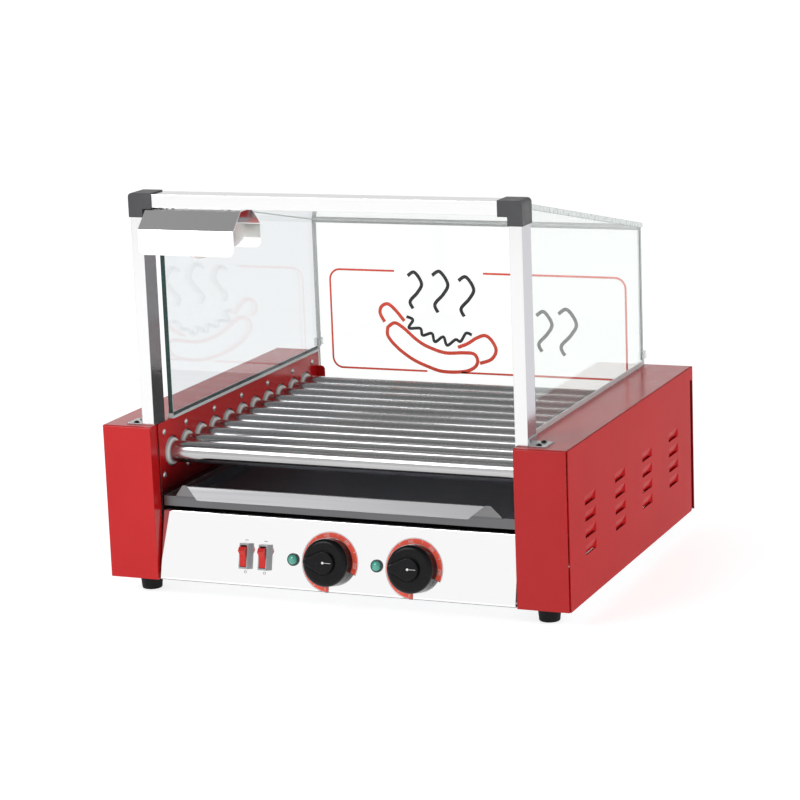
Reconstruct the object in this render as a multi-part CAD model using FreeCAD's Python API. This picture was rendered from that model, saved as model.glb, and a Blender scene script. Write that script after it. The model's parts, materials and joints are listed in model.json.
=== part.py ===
import FreeCAD, Part
import math
import os
from FreeCAD import Vector

# Hot dog roller grill. Millimetres, +Z up, +X to the right of a person at the front, +Y to the back.
# The origin is on the worktop, under the middle of the machine.

# ---- overall size ----
BODY_WIDTH = 580.0
BODY_DEPTH = 480.0
FOOT_HEIGHT = 20.0
HOUSING_HEIGHT = 185.0
HOUSING_WIDTH = 63.5
SHEET = 1.2
BEND = 2.8                       # outside radius of a folded edge
GAP = 0.3                        # assembly gap between separate sheets

FRONT = -BODY_DEPTH / 2
BACK = BODY_DEPTH / 2
SIDE = BODY_WIDTH / 2
FLOOR_Z = FOOT_HEIGHT
TOP_Z = FOOT_HEIGHT + HOUSING_HEIGHT
INNER_X = SIDE - HOUSING_WIDTH   # inner edge of a side housing

# ---- rollers and their drive ----
ROLLER_COUNT = 11
TEETH = 16
CHAIN_PITCH = 6.35
LINKS_BETWEEN_ROLLERS = 6
ROLLER_PITCH = LINKS_BETWEEN_ROLLERS * CHAIN_PITCH
ROLLER_Z = 166.0
TUBE_R = 12.7
TUBE_WALL = 1.2
TUBE_LEFT_END = -238.0
TUBE_RIGHT_END = 250.0
SPROCKET_X = 243.0               # inboard face of every sprocket
SPROCKET_THICK = 3.0
PITCH_R = CHAIN_PITCH / (2 * math.sin(math.pi / TEETH))
TOOTH_TIP_R = PITCH_R + 1.6
TOOTH_MOUTH_R = 2.5
CHAIN_ROLLER_R = 1.65
CHAIN_PIN_R = 1.1
CHAIN_PLATE_HALF = 2.7
CHAIN_PLATE = 0.7
INNER_LINK_HALF = 2.2            # middle of the chain to the near face of an inner plate
OUTER_LINK_HALF = 3.1
CHAIN_LINKS = 142
END_ROLLER_Y = ROLLER_PITCH * (ROLLER_COUNT - 1) / 2
LOOP_SIDE = (CHAIN_LINKS - 2 * END_ROLLER_Y / CHAIN_PITCH - TEETH) * CHAIN_PITCH / 2
MOTOR_DROP = math.sqrt(LOOP_SIDE ** 2 - END_ROLLER_Y ** 2)
MOTOR_Z = ROLLER_Z - MOTOR_DROP
MOTOR_SHAFT_R = 4.0
MOTOR_PLATE_X = 252.5
MOTOR_PLATE_THICK = 2.0
MOTOR_BODY_R = 30.0
RUNNING = 0.05                   # radial running clearance

# ---- inner covers, bearing plates and bushes ----
COVER_FACE_X = 224.5             # cooking side of the painted inner cover
COVER_THICK = 1.0
PLATE_X = 226.7
PLATE_THICK = 2.0
COVER_FRONT_Y = -222.0
COVER_BACK_Y = 228.0
BUSH_FACE_X = 221.5
BUSH_FLANGE_R = 16.0
BUSH_BODY_R = 14.5
COVER_HOLE_R = 18.3
BUSH_END_X = 233.0
SCREW_Z = 193.0
SCREW_YS = (-209.0, -152.4, -76.2, 0.0, 76.2, 152.4, 213.0)
LOW_SCREW_YS = (-213.0, -152.4)
LOW_SCREW_Z = 142.0

# ---- heating rods ----
ROD_R = 4.0
ROD_HALF = 262.0
PIN_R = 1.6
PIN_HALF = 272.0
ROD_PLATE_X = 258.0
ROD_PLATE_THICK = 1.5

# ---- sloping control panel ----
PANEL_HALF = 223.8
PANEL_SLOPE = math.radians(13.0)
PANEL_LENGTH = 84.0
PANEL_FOOT_Y = FRONT + 0.6
PANEL_SHEET = 1.2
UP_Y = math.sin(PANEL_SLOPE)
UP_Z = math.cos(PANEL_SLOPE)
ROW_S = 36.0                     # height of the controls, measured up the slope
KNOB_XS = (-6.0, 99.3)
SWITCH_XS = (-113.3, -88.6)
PILOT_XS = (-52.4, 53.0)
SPINDLE_R = 3.0
KNOB_R = 28.0
KNOB_FACE = 18.0
KNOB_SHOULDER = 6.0
GRIP_RISE = 4.0
GRIP_GROOVE = 1.6
ROCKER_REST = 12.0               # degrees, upper half standing out
BEZEL_W = 11.6
BEZEL_H = 30.0
BEZEL_PROUD = 8.0
ROCKER_PIVOT = BEZEL_PROUD - 1.5

# ---- drip tray ----
TRAY_HALF = 209.0
APRON_HALF = 222.5
TRAY_FRONT_Y = -222.0
TRAY_BACK_Y = 218.0
TRAY_Z = 107.0
TRAY_WALL = 12.0
TRAY_SHEET = 1.0
LIP_Z = 136.0                    # ridge between the finger lip and its turned-down flap
LIP_Y = -228.0
LIP_HALF = 191.5
LIP_FOOT_HALF = 205.0
FLAP_Y = -239.3
FLAP_Z = 120.0
FLAP_HALF = 169.0

# ---- guard frame and glass ----
POST_X0 = 226.0
POST_X1 = 241.0
POST_Y0 = -230.0
POST_Y1 = -202.0
POST_MID_Y = (POST_Y0 + POST_Y1) / 2
TUBE_SKIN = 1.3
BRACKET_SHEET = 1.5
BRACKET_SCREW_X = POST_X1 + 11.0
BRACKET_SCREW_YS = (POST_MID_Y - 8.0, POST_MID_Y + 8.0)
RAIL_Z0 = 463.5
RAIL_Z1 = 479.0
CAP_SKIN = 1.4
CAP_INNER_X = 213.0
CAP_LOW_Z = 452.0
PANE = 6.0
PANE_X0 = 222.0
PANE_FRONT_Y = -188.0
PANE_BACK_Y = 233.2
SEAL_BASE = 1.5
SEAL_SKIN = 1.0
SEAL_HEIGHT = 6.0
SEAL_INNER_HEIGHT = 3.0
ROOF_FRONT_Y = -201.2
ROOF_FRONT_Z = 475.0
ROOF_SLOPE = math.tan(math.radians(11.5))
ROOF_DROP = PANE / math.cos(math.radians(11.5))
REAR_PANE_Y = 233.7
REAR_PANE_HALF = 223.5
REAR_FLANGE_Z = 163.0

# ---- lamp ----
SHADE_X0 = -221.0
SHADE_X1 = -99.0
SHADE_MID_Y = POST_MID_Y
SHADE_HALF = 36.0
SHADE_TOP_HALF = 14.0
SHADE_TOP_Z = RAIL_Z0 - CAP_SKIN - GAP
SHADE_FOLD_Z = 441.0
SHADE_LOW_Z = 412.0
SHADE_SHEET = 0.8
BULB_X = -161.0
BULB_R = 22.5
BULB_Z = 426.0

# ---- supply ----
GLAND_X = 258.0
GLAND_Z = 56.0
GLAND_THREAD_R = 10.0
GLAND_BORE_R = 4.5
GLAND_PROUD = 13.5

# ---- louvres of the outer covers ----
LOUVRE_YS = (-165.0, -57.0, 47.0, 154.0)
LOUVRE_ZS = (72.0, 91.2, 110.4, 129.6)
LOUVRE_LENGTH = 37.0
LOUVRE_HEIGHT = 11.0
LOUVRE_DEPTH = 2.8
LOUVRE_END = 6.0                 # how far each end of a louvre slopes in
REAR_SLOT_Y0 = BACK - 12.5
REAR_SLOT_Y1 = BACK - 2.0
REAR_SLOT_TOP = TOP_Z - 17.0


def box(x0, x1, y0, y1, z0, z1):
    low = Vector(min(x0, x1), min(y0, y1), min(z0, z1))
    return Part.makeBox(abs(x1 - x0), abs(y1 - y0), abs(z1 - z0), low)


def rod_x(x0, x1, radius, y, z):
    return Part.makeCylinder(radius, x1 - x0, Vector(x0, y, z), Vector(1, 0, 0))


def face_of(points):
    return Part.Face(Part.makePolygon([Vector(*p) for p in points] + [Vector(*points[0])]))


def slab_yz(points, x0, x1):
    """A flat piece with its outline in the YZ plane, from x0 to x1."""
    return face_of([(x0, y, z) for y, z in points]).extrude(Vector(x1 - x0, 0, 0))


def slab_xz(points, y0, y1):
    """A flat piece with its outline in the XZ plane, from y0 to y1."""
    return face_of([(x, y0, z) for x, z in points]).extrude(Vector(0, y1 - y0, 0))


def folded_yz(points, thickness, x0, x1, bend=BEND):
    """A folded sheet: an open path in the YZ plane with rounded corners, thickened to its left."""
    corners = [Vector(x0, y, z) for y, z in points]
    edges = []
    start = corners[0]
    for before, corner, after in zip(corners, corners[1:], corners[2:]):
        into = (corner - before).normalize()
        out = (after - corner).normalize()
        turn = into.getAngle(out)
        reach = bend * math.tan(turn / 2)
        arc_start = corner - into * reach
        arc_end = corner + out * reach
        middle_dir = (out - into).normalize()
        to_centre = bend / math.cos(turn / 2)
        arc_middle = corner + middle_dir * (to_centre - bend)
        edges.append(Part.LineSegment(start, arc_start).toShape())
        edges.append(Part.Arc(arc_start, arc_middle, arc_end).toShape())
        start = arc_end
    edges.append(Part.LineSegment(start, corners[-1]).toShape())
    ribbon = Part.Wire(edges).makeOffset2D(thickness, 0, True, True)
    return ribbon.extrude(Vector(x1 - x0, 0, 0))


def mirrored(shape):
    return shape.mirror(Vector(0, 0, 0), Vector(1, 0, 0))


def fused(shapes):
    first = shapes[0]
    return first.multiFuse(shapes[1:]).removeSplitter() if len(shapes) > 1 else first


def export(node, *solids):
    """One STEP file per node; a group of identical pieces stays a group of separate solids."""
    shape = solids[0] if len(solids) == 1 else Part.makeCompound(list(solids))
    shape.exportStep("parts/" + node + ".step")


def on_panel(shape, x, s, out=0.0, turn=0.0):
    """Move a shape from panel axes (x, up the slope, outward) to its place on the panel."""
    base = Vector(x, PANEL_FOOT_Y + s * UP_Y - out * UP_Z, FLOOR_Z + s * UP_Z + out * UP_Y)
    tilt = FreeCAD.Rotation(Vector(1, 0, 0), 90 - math.degrees(PANEL_SLOPE))
    spin = FreeCAD.Rotation(Vector(1, 0, 0), turn)
    placed = shape.copy()
    placed.Placement = FreeCAD.Placement(base, tilt.multiply(spin)).multiply(placed.Placement)
    return placed


def domed_screw(place, outward):
    """A domed M4 screw with its head's underside at place, facing outward."""
    radius = 3.6
    proud = 2.2
    shank = 6.0
    dome_r = 4.2
    head = Part.makeSphere(dome_r, Vector(0, 0, proud - dome_r)).common(Part.makeCylinder(radius, proud))
    screw = head.fuse(Part.makeCylinder(1.9, shank, Vector(0, 0, -shank)))
    screw = screw.cut(box(-2.4, 2.4, -0.4, 0.4, proud - 0.9, proud + 1))
    screw.Placement = FreeCAD.Placement(place, FreeCAD.Rotation(Vector(0, 0, 1), outward))
    return screw


def roller_ys():
    return [(i - (ROLLER_COUNT - 1) / 2) * ROLLER_PITCH for i in range(ROLLER_COUNT)]


# ---- side housings ----

def housing(side):
    """Front, top and rear of a side housing, folded from one sheet, with narrow inner returns."""
    outer = SIDE - SHEET - GAP
    slot_top = REAR_SLOT_TOP - 0.5
    path = [(FRONT, FLOOR_Z), (FRONT, TOP_Z), (BACK, TOP_Z), (BACK, FLOOR_Z)]
    wrap = folded_yz(path, SHEET, INNER_X, outer)
    front_return = box(INNER_X, INNER_X + SHEET, FRONT + 0.6, COVER_FRONT_Y - GAP, FLOOR_Z, TOP_Z - 0.6)
    rear_return = box(INNER_X, INNER_X + SHEET, COVER_BACK_Y + 2, BACK - 0.6, FLOOR_Z, TOP_Z - 0.6)
    rear_lip = box(SIDE - SHEET, SIDE, REAR_SLOT_Y1, BACK - 0.4, FLOOR_Z, slot_top)
    lip_web = box(outer - 1.0, SIDE, BACK - SHEET, BACK - 0.4, FLOOR_Z, slot_top)
    shell = fused([wrap, front_return, rear_return, rear_lip, lip_web])
    for y in BRACKET_SCREW_YS:
        shell = shell.cut(Part.makeCylinder(2.1, 6, Vector(BRACKET_SCREW_X, y, TOP_Z - 3)))
    if side < 0:
        return mirrored(shell)
    return shell.cut(Part.makeCylinder(GLAND_THREAD_R, 6, Vector(GLAND_X, BACK - 3, GLAND_Z), Vector(0, 1, 0)))


def louvre_wedge(length, height, depth, y, z, face_x):
    """A wedge going inward from a face: nothing at its top edge, deepest along its bottom edge."""
    corners = {
        "a": Vector(face_x, y - length / 2, z + height),
        "b": Vector(face_x, y + length / 2, z + height),
        "c": Vector(face_x, y + length / 2, z),
        "d": Vector(face_x, y - length / 2, z),
        "e": Vector(face_x - depth, y - length / 2 + LOUVRE_END, z),
        "f": Vector(face_x - depth, y + length / 2 - LOUVRE_END, z),
    }
    faces = []
    for names in ("adcb", "abf", "afe", "aed", "bcf", "defc"):
        ring = [corners[name] for name in names]
        faces.append(Part.Face(Part.makePolygon(ring + [ring[0]])))
    wedge = Part.makeSolid(Part.makeShell(faces))
    if wedge.Volume < 0:
        wedge.reverse()
    return wedge


def outer_cover():
    """The flat outer side with its louvres pressed inward; a slot stays open along the rear edge."""
    top = TOP_Z - 0.5
    front = FRONT + 1.8
    outline = [(front, FLOOR_Z), (REAR_SLOT_Y0, FLOOR_Z), (REAR_SLOT_Y0, REAR_SLOT_TOP),
               (BACK - 0.4, REAR_SLOT_TOP), (BACK - 0.4, top), (front, top)]
    sheet = slab_yz(outline, SIDE - SHEET, SIDE)
    skins = []
    hollows = []
    for y in LOUVRE_YS:
        for z in LOUVRE_ZS:
            skins.append(louvre_wedge(LOUVRE_LENGTH + 2.4, LOUVRE_HEIGHT + 1.4, LOUVRE_DEPTH, y, z,
                                      SIDE - SHEET + 0.2))
            hollows.append(louvre_wedge(LOUVRE_LENGTH, LOUVRE_HEIGHT, LOUVRE_DEPTH, y, z, SIDE))
    return sheet.multiFuse(skins).cut(hollows)


def inner_cover():
    """The painted cooking-side cover with a clearance hole round every bush and a rear glass tab."""
    x1 = COVER_FACE_X + COVER_THICK
    sheet = box(COVER_FACE_X, x1, COVER_FRONT_Y, COVER_BACK_Y, FLOOR_Z + 1, TOP_Z)
    tab = box(COVER_FACE_X - 11.5, x1, COVER_BACK_Y, COVER_BACK_Y + COVER_THICK, 171.0, 185.5)
    corner = [e for e in tab.Edges if abs(e.CenterOfMass.x - (COVER_FACE_X - 11.5)) < 0.1
              and abs(e.CenterOfMass.z - 185.5) < 0.1 and e.Length < 1.5]
    tab = tab.makeFillet(5.0, corner)
    rear_strip = box(COVER_FACE_X, x1, COVER_BACK_Y - 1, COVER_BACK_Y + COVER_THICK, 165.0, 192.0)
    cover = fused([sheet, tab, rear_strip])
    holes = [rod_x(x1 - 5, x1 + 1, COVER_HOLE_R, y, ROLLER_Z) for y in roller_ys()]
    holes += [rod_x(x1 - 5, x1 + 1, 2.1, y, SCREW_Z) for y in SCREW_YS]
    holes += [rod_x(x1 - 5, x1 + 1, 2.1, y, LOW_SCREW_Z) for y in LOW_SCREW_YS]
    return cover.cut(holes)


def bearing_plate():
    """The galvanised plate that carries the bushes."""
    x1 = PLATE_X + PLATE_THICK
    plate = box(PLATE_X, x1, COVER_FRONT_Y, COVER_BACK_Y, 60.0, TOP_Z - SHEET - 1)
    holes = [rod_x(PLATE_X - 1, x1 + 1, BUSH_BODY_R, y, ROLLER_Z) for y in roller_ys()]
    holes += [rod_x(PLATE_X - 1, x1 + 1, 1.9, y, SCREW_Z) for y in SCREW_YS]
    holes += [rod_x(PLATE_X - 1, x1 + 1, 1.9, y, LOW_SCREW_Z) for y in LOW_SCREW_YS]
    return plate.cut(holes)


def bush(y):
    """A flanged PTFE bush of a right-hand roller end."""
    flange = rod_x(BUSH_FACE_X, PLATE_X, BUSH_FLANGE_R, y, ROLLER_Z)
    rim = [e for e in flange.Edges if abs(e.CenterOfMass.x - BUSH_FACE_X) < 0.01]
    flange = flange.makeFillet(1.5, rim)
    body = rod_x(PLATE_X - 0.5, BUSH_END_X, BUSH_BODY_R, y, ROLLER_Z)
    bore = rod_x(BUSH_FACE_X - 1, BUSH_END_X + 1, TUBE_R + RUNNING, y, ROLLER_Z)
    return flange.fuse(body).cut(bore)


# ---- drive ----

def sprocket_blank(y, z):
    """A toothed disc: round tooth gaps on the pitch circle, the first one straight up."""
    disc = rod_x(SPROCKET_X, SPROCKET_X + SPROCKET_THICK, TOOTH_TIP_R, y, z)
    gaps = []
    for tooth in range(TEETH):
        angle = 2 * math.pi * tooth / TEETH
        gap_y = y + PITCH_R * math.sin(angle)
        gap_z = z + PITCH_R * math.cos(angle)
        mouth_y = y + TOOTH_TIP_R * math.sin(angle)
        mouth_z = z + TOOTH_TIP_R * math.cos(angle)
        gaps.append(rod_x(SPROCKET_X - 1, SPROCKET_X + SPROCKET_THICK + 1, CHAIN_ROLLER_R + 0.2, gap_y, gap_z))
        gaps.append(rod_x(SPROCKET_X - 1, SPROCKET_X + SPROCKET_THICK + 1, TOOTH_MOUTH_R, mouth_y, mouth_z))
    return disc.cut(gaps)


def roller(y):
    """A cooking tube with the drive sprocket welded round its right-hand end."""
    tube = rod_x(TUBE_LEFT_END, TUBE_RIGHT_END, TUBE_R, y, ROLLER_Z)
    bore = rod_x(TUBE_LEFT_END - 1, TUBE_RIGHT_END + 1, TUBE_R - TUBE_WALL, y, ROLLER_Z)
    return tube.fuse(sprocket_blank(y, ROLLER_Z)).cut(bore)


def chain():
    """The links of the roller chain in its resting place, inner and outer by turns."""
    slope = math.atan2(MOTOR_DROP, END_ROLLER_Y)
    wrap_links = TEETH * (math.pi - slope) / (2 * math.pi)
    top_links = END_ROLLER_Y / CHAIN_PITCH
    side_links = LOOP_SIDE / CHAIN_PITCH

    def pin_at(link):
        """The place of a pin, counted in links from the middle of the top run to the rear."""
        mirror = 1
        if link > CHAIN_LINKS / 2:
            link = CHAIN_LINKS - link
            mirror = -1
        if link <= top_links:
            return mirror * link * CHAIN_PITCH, ROLLER_Z + PITCH_R
        link -= top_links
        if link <= wrap_links:
            angle = 2 * math.pi * link / TEETH
            y = END_ROLLER_Y + PITCH_R * math.sin(angle)
            return mirror * y, ROLLER_Z + PITCH_R * math.cos(angle)
        link -= wrap_links
        off_y = PITCH_R * math.sin(slope)
        off_z = -PITCH_R * math.cos(slope)
        if link <= side_links:
            part = link / side_links
            y = END_ROLLER_Y * (1 - part) + off_y
            return mirror * y, ROLLER_Z - MOTOR_DROP * part + off_z
        link -= side_links
        angle = math.pi - slope + 2 * math.pi * link / TEETH
        return mirror * PITCH_R * math.sin(angle), MOTOR_Z + PITCH_R * math.cos(angle)

    pins = [pin_at(link) for link in range(CHAIN_LINKS)]
    links = []
    for index, here in enumerate(pins):
        there = pins[(index + 1) % CHAIN_LINKS]
        links.append(outer_link(here, there) if index % 2 else inner_link(here, there))
    return links


def link_plates(here, there, half):
    """The two side plates of one link, with rounded ends, joining two pin places."""
    middle_x = SPROCKET_X + SPROCKET_THICK / 2
    along = Vector(0, there[0] - here[0], there[1] - here[1])
    across = Vector(0, -along.z, along.y).normalize() * CHAIN_PLATE_HALF
    plates = []
    for x0 in (middle_x - half - CHAIN_PLATE, middle_x + half):
        start = Vector(x0, *here)
        ring = [start - across, start + along - across, start + along + across, start + across]
        bar = Part.Face(Part.makePolygon(ring + [ring[0]])).extrude(Vector(CHAIN_PLATE, 0, 0))
        ends = [rod_x(x0, x0 + CHAIN_PLATE, CHAIN_PLATE_HALF, y, z) for y, z in (here, there)]
        plates.append(bar.multiFuse(ends).removeSplitter())
    return plates


def inner_link(here, there):
    """Two plates joined by the rollers that sit between the teeth, bored for the pins."""
    middle_x = SPROCKET_X + SPROCKET_THICK / 2
    rollers = [rod_x(middle_x - INNER_LINK_HALF - 0.1, middle_x + INNER_LINK_HALF + 0.1, CHAIN_ROLLER_R, y, z)
               for y, z in (here, there)]
    bores = [rod_x(middle_x - 5, middle_x + 5, CHAIN_PIN_R + RUNNING, y, z) for y, z in (here, there)]
    return fused(link_plates(here, there, INNER_LINK_HALF) + rollers).cut(bores)


def outer_link(here, there):
    """Two plates joined by the pins of the links on both sides."""
    middle_x = SPROCKET_X + SPROCKET_THICK / 2
    reach = OUTER_LINK_HALF + CHAIN_PLATE
    pins = [rod_x(middle_x - reach, middle_x + reach, CHAIN_PIN_R, y, z) for y, z in (here, there)]
    return fused(link_plates(here, there, OUTER_LINK_HALF) + pins)


def motor_sprocket():
    """The driving sprocket with its hub."""
    blank = sprocket_blank(0, MOTOR_Z)
    hub = rod_x(SPROCKET_X - 6, SPROCKET_X + SPROCKET_THICK, 9.0, 0, MOTOR_Z)
    bore = rod_x(SPROCKET_X - 8, SPROCKET_X + SPROCKET_THICK + 1, MOTOR_SHAFT_R + RUNNING, 0, MOTOR_Z)
    return blank.fuse(hub).cut(bore)


def gear_motor():
    """The slow gear motor: gearcase, motor can, shaft and terminal box."""
    face = MOTOR_PLATE_X + MOTOR_PLATE_THICK
    case = rod_x(face, face + 18, MOTOR_BODY_R, 0, MOTOR_Z - 12)
    can = rod_x(face + 18, face + 32, MOTOR_BODY_R - 3, 0, MOTOR_Z - 12)
    can = can.makeFillet(2.0, [e for e in can.Edges if abs(e.CenterOfMass.x - face - 32) < 0.01])
    boss = rod_x(MOTOR_PLATE_X - 2, face + 1, 7.0, 0, MOTOR_Z)
    shaft = rod_x(SPROCKET_X - 7, face + 1, MOTOR_SHAFT_R, 0, MOTOR_Z)
    terminals = box(face + 6, face + 26, 24, 40, MOTOR_Z - 22, MOTOR_Z - 2)
    return fused([case, can, boss, shaft, terminals])


def motor_bracket():
    """A bridge from the bearing plate over the chain to the gear motor's face."""
    start = PLATE_X + PLATE_THICK
    low_z = 66.0 - 12.0
    plate = box(MOTOR_PLATE_X, MOTOR_PLATE_X + MOTOR_PLATE_THICK, -36, 36, 36, 132)
    high_leg = box(start, MOTOR_PLATE_X + 1, -36, 36, 130, 132)
    foot = box(start, start + 2, -36, 36, 118, 132)
    floor_leg = box(MOTOR_PLATE_X, MOTOR_PLATE_X + 16, 30, 36, 22.6, low_z)
    floor_leg_front = box(MOTOR_PLATE_X, MOTOR_PLATE_X + 16, -36, -30, 22.6, low_z)
    bracket = fused([plate, high_leg, foot, floor_leg, floor_leg_front])
    return bracket.cut(rod_x(MOTOR_PLATE_X - 1, MOTOR_PLATE_X + 3, 7.0, 0, MOTOR_Z))


# ---- heating rods ----

def heating_rod(y):
    """A stationary sheathed element with a terminal pin at each end."""
    sheath = rod_x(-ROD_HALF, ROD_HALF, ROD_R, y, ROLLER_Z)
    return sheath.fuse(rod_x(-PIN_HALF, PIN_HALF, PIN_R, y, ROLLER_Z))


def element_bracket():
    """The slotted strip outboard of the chain that holds one end of every heating rod."""
    leg_y = END_ROLLER_Y + 24.0
    x0 = PLATE_X + PLATE_THICK
    strip = box(ROD_PLATE_X, ROD_PLATE_X + ROD_PLATE_THICK, -leg_y, leg_y, ROLLER_Z - 9, ROLLER_Z + 9)
    legs = [box(x0, ROD_PLATE_X + 1, s * leg_y, s * (leg_y - 1.5), ROLLER_Z - 9, ROLLER_Z + 9) for s in (-1, 1)]
    feet = [box(x0, x0 + 1.5, s * leg_y, s * (leg_y - 9), ROLLER_Z - 9, ROLLER_Z + 9) for s in (-1, 1)]
    holes = [rod_x(ROD_PLATE_X - 1, ROD_PLATE_X + 3, ROD_R, y, ROLLER_Z) for y in roller_ys()]
    return fused([strip] + legs + feet).cut(holes)


# ---- middle of the machine ----

def panel_path():
    top_y = PANEL_FOOT_Y + PANEL_LENGTH * UP_Y
    top_z = FLOOR_Z + PANEL_LENGTH * UP_Z
    return [(PANEL_FOOT_Y + 14, FLOOR_Z), (PANEL_FOOT_Y, FLOOR_Z), (top_y, top_z), (top_y + 16, top_z)]


def control_panel():
    sheet = folded_yz(panel_path(), PANEL_SHEET, -PANEL_HALF, PANEL_HALF)
    holes = [on_panel(Part.makeCylinder(5.0, 8, Vector(0, 0, -6)), x, ROW_S) for x in KNOB_XS]
    holes += [on_panel(Part.makeCylinder(6.1, 8, Vector(0, 0, -6)), x, ROW_S) for x in PILOT_XS]
    holes += [on_panel(box(-5.2, 5.2, -13.6, 13.6, -6, 2), x, ROW_S) for x in SWITCH_XS]
    return sheet.cut(holes)


def base_pan():
    path = [(PANEL_FOOT_Y + 16, FLOOR_Z + 14), (PANEL_FOOT_Y + 16, FLOOR_Z), (BACK - 4, FLOOR_Z),
            (BACK - 4, FLOOR_Z + 14)]
    return folded_yz(path, -SHEET, -PANEL_HALF, PANEL_HALF)


def electrics_cover():
    """The folded shield that keeps drips off the switches and thermostats."""
    top_z = panel_path()[2][1] - PANEL_SHEET - GAP
    front_y = panel_path()[2][0] + 3
    foot_z = FLOOR_Z + 2 * SHEET + GAP
    path = [(front_y, top_z), (-118.0, top_z), (-118.0, foot_z), (-106.0, foot_z)]
    return folded_yz(path, SHEET, -PANEL_HALF + 1, PANEL_HALF - 1)


def rear_panel():
    path = [(BACK - 1.0, FLOOR_Z + 1.5), (BACK - 1.0, REAR_FLANGE_Z), (BACK - 14.0, REAR_FLANGE_Z)]
    return folded_yz(path, -SHEET, -PANEL_HALF + 0.2, PANEL_HALF - 0.2)


def drip_tray():
    """A shallow tray whose front edge rises into a finger lip with a turned-down flap."""
    outer = box(-TRAY_HALF, TRAY_HALF, TRAY_FRONT_Y, TRAY_BACK_Y, TRAY_Z, TRAY_Z + TRAY_WALL)
    inner = box(-TRAY_HALF + TRAY_SHEET, TRAY_HALF - TRAY_SHEET, TRAY_FRONT_Y + TRAY_SHEET,
                TRAY_BACK_Y - TRAY_SHEET, TRAY_Z + TRAY_SHEET, TRAY_Z + TRAY_WALL + 1)
    pan = outer.cut(inner)
    rim_z = TRAY_Z + TRAY_WALL
    rims = [box(s * TRAY_HALF, s * (TRAY_HALF + 8), TRAY_FRONT_Y, TRAY_BACK_Y, rim_z - TRAY_SHEET, rim_z)
            for s in (-1, 1)]
    apron = box(-APRON_HALF, APRON_HALF, TRAY_FRONT_Y, TRAY_FRONT_Y + TRAY_SHEET, TRAY_Z, rim_z)
    fold = folded_yz([(TRAY_FRONT_Y, rim_z - 0.6), (LIP_Y, LIP_Z), (FLAP_Y, FLAP_Z)], -TRAY_SHEET,
                     -LIP_FOOT_HALF, LIP_FOOT_HALF, 1.5)
    lip_window = slab_xz([(-LIP_FOOT_HALF, rim_z - 1), (LIP_FOOT_HALF, rim_z - 1), (LIP_FOOT_HALF, rim_z + 2),
                          (LIP_HALF, LIP_Z + 1), (-LIP_HALF, LIP_Z + 1), (-LIP_FOOT_HALF, rim_z + 2)],
                         LIP_Y - 0.5, TRAY_FRONT_Y + 3)
    flap_window = slab_xz([(-FLAP_HALF, FLAP_Z - 1), (FLAP_HALF, FLAP_Z - 1), (LIP_HALF, LIP_Z + 1),
                           (-LIP_HALF, LIP_Z + 1)], FLAP_Y - 2, LIP_Y - 0.5)
    lip = fold.common(lip_window.fuse(flap_window))
    return fused([pan, apron, lip] + rims)


def tray_runner():
    """The right-hand angle that the tray's rim slides on."""
    rim_z = TRAY_Z + TRAY_WALL - TRAY_SHEET - 0.4
    shelf = box(TRAY_HALF + 2, COVER_FACE_X, TRAY_FRONT_Y + 8, TRAY_BACK_Y, rim_z - 1.5, rim_z)
    flange = box(COVER_FACE_X - 1.5, COVER_FACE_X, TRAY_FRONT_Y + 8, TRAY_BACK_Y, rim_z - 12, rim_z)
    return shelf.fuse(flange)


# ---- controls ----

def teardrop(big_r, small_r, reach, z0, z1):
    """A round-ended prism, wide at the origin and narrow at -reach along X."""
    lean = math.acos((big_r - small_r) / reach)
    ring = []
    for turn in (math.pi - lean, math.pi + lean):
        wide = Vector(big_r * math.cos(turn), big_r * math.sin(turn), z0)
        narrow = Vector(small_r * math.cos(turn) - reach, small_r * math.sin(turn), z0)
        ring += [wide, narrow] if turn < math.pi else [narrow, wide]
    wedge = Part.Face(Part.makePolygon(ring + [ring[0]])).extrude(Vector(0, 0, z1 - z0))
    ends = [Part.makeCylinder(big_r, z1 - z0, Vector(0, 0, z0)),
            Part.makeCylinder(small_r, z1 - z0, Vector(-reach, 0, z0))]
    return wedge.multiFuse(ends).removeSplitter()


def knob():
    """A deep round knob with a low teardrop grip set in a groove, and the stem to its thermostat."""
    body = Part.makeCylinder(KNOB_R, KNOB_FACE)
    shoulder = [e for e in body.Edges if abs(e.CenterOfMass.z - KNOB_FACE) < 0.01]
    body = body.makeFillet(KNOB_SHOULDER, shoulder)
    big_r = 13.0
    small_r = 3.5
    reach = 21.5
    grip_top = KNOB_FACE + GRIP_RISE
    groove = teardrop(big_r + GRIP_GROOVE, small_r + GRIP_GROOVE, reach, KNOB_FACE - 1.0, KNOB_FACE + 1)
    grip = teardrop(big_r, small_r, reach, KNOB_FACE - KNOB_SHOULDER, grip_top)
    rim = [e for e in grip.Edges if abs(e.CenterOfMass.z - grip_top) < 0.01]
    grip = grip.makeFillet(1.5, rim)
    hollow = Part.makeCylinder(KNOB_R - 3, KNOB_FACE - KNOB_SHOULDER + 1, Vector(0, 0, -1))
    stem = Part.makeCylinder(SPINDLE_R, KNOB_FACE + 8, Vector(0, 0, -12))
    return fused([body.cut([groove, hollow]), grip, stem])


def thermostat():
    """A capillary thermostat body and threaded neck with its spindle bore."""
    case = box(-22, 22, -14, 17, -32, -PANEL_SHEET - 1.5)
    neck = Part.makeCylinder(4.9, 5, Vector(0, 0, -PANEL_SHEET - 2))
    nut = Part.makeCylinder(8.0, 2.2)
    bore = Part.makeCylinder(SPINDLE_R + RUNNING, 20, Vector(0, 0, -13))
    return fused([case, neck, nut]).cut(bore)


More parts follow.
